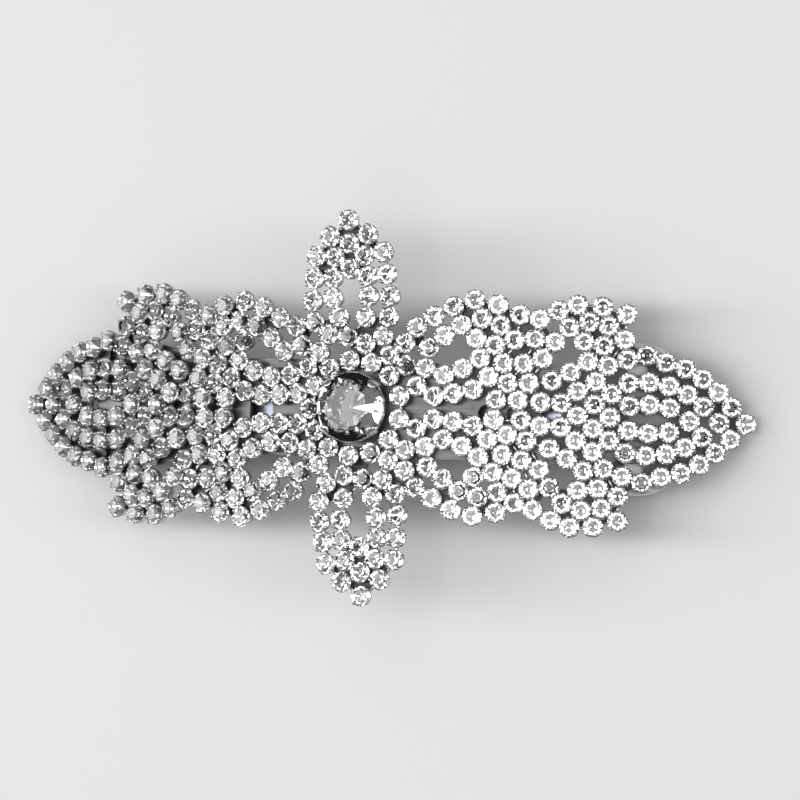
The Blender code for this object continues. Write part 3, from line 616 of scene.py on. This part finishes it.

# %% [markdown]
# ## Solder and painted shade between the rows
# The rows are held side by side by solder that runs between the cups at the back. Its near-black colour
# is painted shade: it stands in for the shadow down between the cups, so that the gaps between stones
# look dark from the front. The cups' centres are joined into triangles, and only the short ones are
# kept, so the petals' openings and the slot down the middle stay open.

# %% Run the solder


def solder_shade_web():
    """Thin solder between neighbouring cups, just above their floors, painted near black as painted shade.
    """
    places = [Vector(place) for row, _ in ROWS.values() for place in row]
    _, _, triangles, _, _, _ = delaunay_2d_cdt(places, [], [], 0, 1e-7)
    bm = bmesh.new()
    corners = [bm.verts.new(dome_place(p.x, p.y, SOLDER_HEIGHT).translation) for p in places]
    for triangle in triangles:
        sides = [(places[triangle[k]] - places[triangle[k - 1]]).length for k in range(3)]
        if max(sides) < SOLDER_REACH:
            bm.faces.new([corners[k] for k in triangle])
    bmesh.ops.delete(bm, geom=[v for v in bm.verts if not v.link_faces], context="VERTS")
    bmesh.ops.recalc_face_normals(bm, faces=bm.faces)
    bmesh.ops.solidify(bm, geom=bm.faces[:], thickness=0.3 * MM)
    bmesh.ops.recalc_face_normals(bm, faces=bm.faces)
    return piece("solder_painted_shade", bm, [SOLDER_SHADE])


SOLDER_HEIGHT = -0.75 * MM
SOLDER_REACH = 4.15 * MM
print("solder faces", len(solder_shade_web().data.polygons))

# %% [markdown]
# ## The large stone
# The middle stone is four times as wide, with a deep back that throws dark and bright wedges. It
# is cut by the same function with other sizes. Its cup is taller, with a rolled rim and four broad
# claws on the diagonals.

# %% Set the large stone
LARGE_RADIUS = 5.1 * MM
LARGE_GIRDLE = 2.2 * MM
LARGE_TABLE = 3.7 * MM
LARGE_CULET = -1.0 * MM


def large_stone():
    """The large cut stone on the dome's top."""
    bm = bmesh.new()
    mesh = cut_stone(LARGE_RADIUS, LARGE_GIRDLE, LARGE_TABLE, LARGE_CULET, 0.62)
    stamp(bm, mesh, dome_place(0.0, 0.0, 0.0, math.radians(11.0)))
    return piece("large_stone", bm, [GLASS, FOIL], replaced="centre_stone")


def large_cup():
    """The large stone's cup with its claws."""
    bm = bmesh.new()
    spin_profile(bm, [(0.6 * MM, -1.1 * MM), (3.4 * MM, -1.1 * MM), (4.95 * MM, 1.1 * MM),
                      (5.05 * MM, 1.95 * MM), (5.12 * MM, 2.0 * MM), (5.18 * MM, 1.9 * MM),
                      (5.15 * MM, 1.0 * MM), (3.6 * MM, -1.2 * MM), (0.6 * MM, -1.2 * MM)], 48)
    for k in range(4):
        turn = math.tau * (k + 0.5) / 4.0
        spin = Matrix.Rotation(turn, 4, "Z")
        post = spin @ Matrix.Translation((5.24 * MM, 0.0, 1.6 * MM))
        post = post @ Matrix.Diagonal((0.26 * MM, 1.5 * MM, 2.4 * MM, 1.0))
        bmesh.ops.create_cube(bm, size=1.0, matrix=post)
        lean = Matrix.Rotation(math.radians(32.0), 4, "Y")
        tip = spin @ Matrix.Translation((4.85 * MM, 0.0, 2.82 * MM)) @ lean
        tip = tip @ Matrix.Diagonal((0.62 * MM, 0.72 * MM, 0.2 * MM, 1.0))
        bmesh.ops.create_uvsphere(bm, u_segments=20, v_segments=10, radius=1.0, matrix=tip)
    bmesh.ops.recalc_face_normals(bm, faces=bm.faces)
    bmesh.ops.transform(bm, matrix=dome_place(0.0, 0.0), verts=bm.verts)
    return piece("large_cup", bm, [SILVER], replaced="centre_setting", smooth=True)


large_stone()
large_cup()
print("large stone set")

# %% [markdown]
# ## The steel clip
# The plate, arm, springs, tabs and rivets already have their true shapes, so they stay as they are
# and only get their finish. Pressed sheet never has knife edges, and a narrow Bevel gives each one
# but the two springs the small highlight that real edges have.

# %% Finish the steel


def dress(node, material, edge=0.12 * MM):
    """Give a mechanical part its finish and softened edges."""
    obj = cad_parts[node]
    for place in obj.material_slots:
        place.material = material
    if edge:
        bevel = obj.modifiers.new("soft_edges", "BEVEL")
        bevel.width = edge
        bevel.segments = 2
        bevel.limit_method = "ANGLE"
        bevel.angle_limit = math.radians(50.0)
        bevel.use_clamp_overlap = True
    return obj


# The base plate's darker steel is painted shade for where it lies under the spray.
dress("base_plate", SHADED_PLATE)
for steel_node in ("hinge_bracket", "hinge_pin", "clasp_arm", "latch_tab_upper",
                   "latch_tab_lower", "latch_rivet_upper", "latch_rivet_lower"):
    dress(steel_node, STEEL)
for spring_node in ("tension_spring", "latch_spring"):
    dress(spring_node, SPRING, 0.0)
print("steel finished")

# %% [markdown]
# ## Light, floor and camera
# Crystals show what is around them, so the studio matters as much as the stones. Evenly lit, they
# would look milky. A product studio hangs soft panels overhead and leaves the rest of the room
# dimmer, so some facets catch a panel and others don't. The room here is one plain grey, a row of
# soft strips hangs over the clip, and the floor is plain pale card that takes the clip's shadow.

# %% Light the studio


def studio_sky():
    """One plain grey all round."""
    world = bpy.data.worlds.new("studio")
    bpy.context.scene.world = world
    world.use_nodes = True
    back = world.node_tree.nodes["Background"]
    back.inputs["Color"].default_value = (1.0, 1.0, 1.0, 1.0)
    back.inputs["Strength"].default_value = SKY_STRENGTH


SKY_STRENGTH = 0.22
STRIPS = 4
STRIP_STEP = math.radians(20.0)
STRIP_REACH = 0.6
STRIP_WIDTH = 0.11
STRIP_POWER = 0.56
KEY_SIDE = 0.13


def area_light(name, place, size, power):
    """A soft panel light aimed at the clip."""
    light = bpy.data.lights.new(name, "AREA")
    light.shape = "RECTANGLE"
    light.size, light.size_y = size
    light.energy = power
    obj = bpy.data.objects.new(name, light)
    bpy.context.scene.collection.objects.link(obj)
    obj.location = place
    obj.rotation_euler = (Vector(place) - Vector((0.0, 0.0, DOME_TOP))).to_track_quat("Z", "Y").to_euler()
    return obj


def pale_floor():
    """Plain pale card that the clip lies on."""
    bm = bmesh.new()
    bmesh.ops.create_grid(bm, x_segments=1, y_segments=1, size=3.0)
    mesh = bpy.data.meshes.new("floor")
    bm.to_mesh(mesh)
    bm.free()
    material, shader, wire = finish("pale_floor")
    paint(wire, shader, Base_Color=(0.90, 0.90, 0.90, 1.0), Roughness=0.9)
    mesh.materials.append(material)
    obj = bpy.data.objects.new("floor", mesh)
    bpy.context.scene.collection.objects.link(obj)


studio_sky()
for strip in range(-STRIPS, STRIPS + 1):
    lean = strip * STRIP_STEP
    place = (STRIP_REACH * math.sin(lean), 0.0, STRIP_REACH * math.cos(lean))
    area_light(f"strip_{strip + STRIPS}", place, (STRIP_WIDTH, 1.0),
               STRIP_POWER * (1.0 - KEY_SIDE * strip))
pale_floor()
bpy.context.scene.view_settings.view_transform = "Standard"
print("lights", len(bpy.data.lights))

# %% [markdown]
# A long lens from well above keeps the petals in proportion. The camera looks down from a little
# towards the latch end, and its own up direction is turned by a degree or two, so the clip lies
# slightly askew in the frame as it does when it is just put down.

# %% Place the camera
CAMERA_TURN = math.radians(19.7)
CAMERA_TIP = math.radians(3.0)
CAMERA_ROLL = math.radians(1.6)
FRAME_WIDTH = 116.5 * MM
LENS = 900.0
SENSOR = 36.0
CENTRE_OFFSET = (6.55 * MM, 1.16 * MM)


def place_camera():
    """Camera above the clip, turned towards its latch end."""
    data = bpy.data.cameras.new("camera")
    data.lens = LENS
    data.sensor_width = SENSOR
    obj = bpy.data.objects.new("camera", data)
    bpy.context.scene.collection.objects.link(obj)
    toward = Vector((math.sin(CAMERA_TURN) * math.cos(CAMERA_TIP), -math.sin(CAMERA_TIP),
                     math.cos(CAMERA_TURN) * math.cos(CAMERA_TIP)))
    along = Vector((1.0, 0.0, 0.0))
    level = (along - toward * along.dot(toward)).normalized()
    upward = toward.cross(level)
    right = level * math.cos(CAMERA_ROLL) + upward * math.sin(CAMERA_ROLL)
    up = upward * math.cos(CAMERA_ROLL) - level * math.sin(CAMERA_ROLL)
    aim = Vector((0.0, 0.0, DOME_TOP)) + right * CENTRE_OFFSET[0] + up * CENTRE_OFFSET[1]
    spot = aim + toward * (FRAME_WIDTH * LENS / SENSOR)
    turn = Matrix((right, up, toward)).transposed().to_4x4()
    obj.matrix_world = Matrix.Translation(spot) @ turn
    bpy.context.scene.camera = obj
    return obj


camera = place_camera()
print("camera at", tuple(round(v, 3) for v in camera.matrix_world.translation))
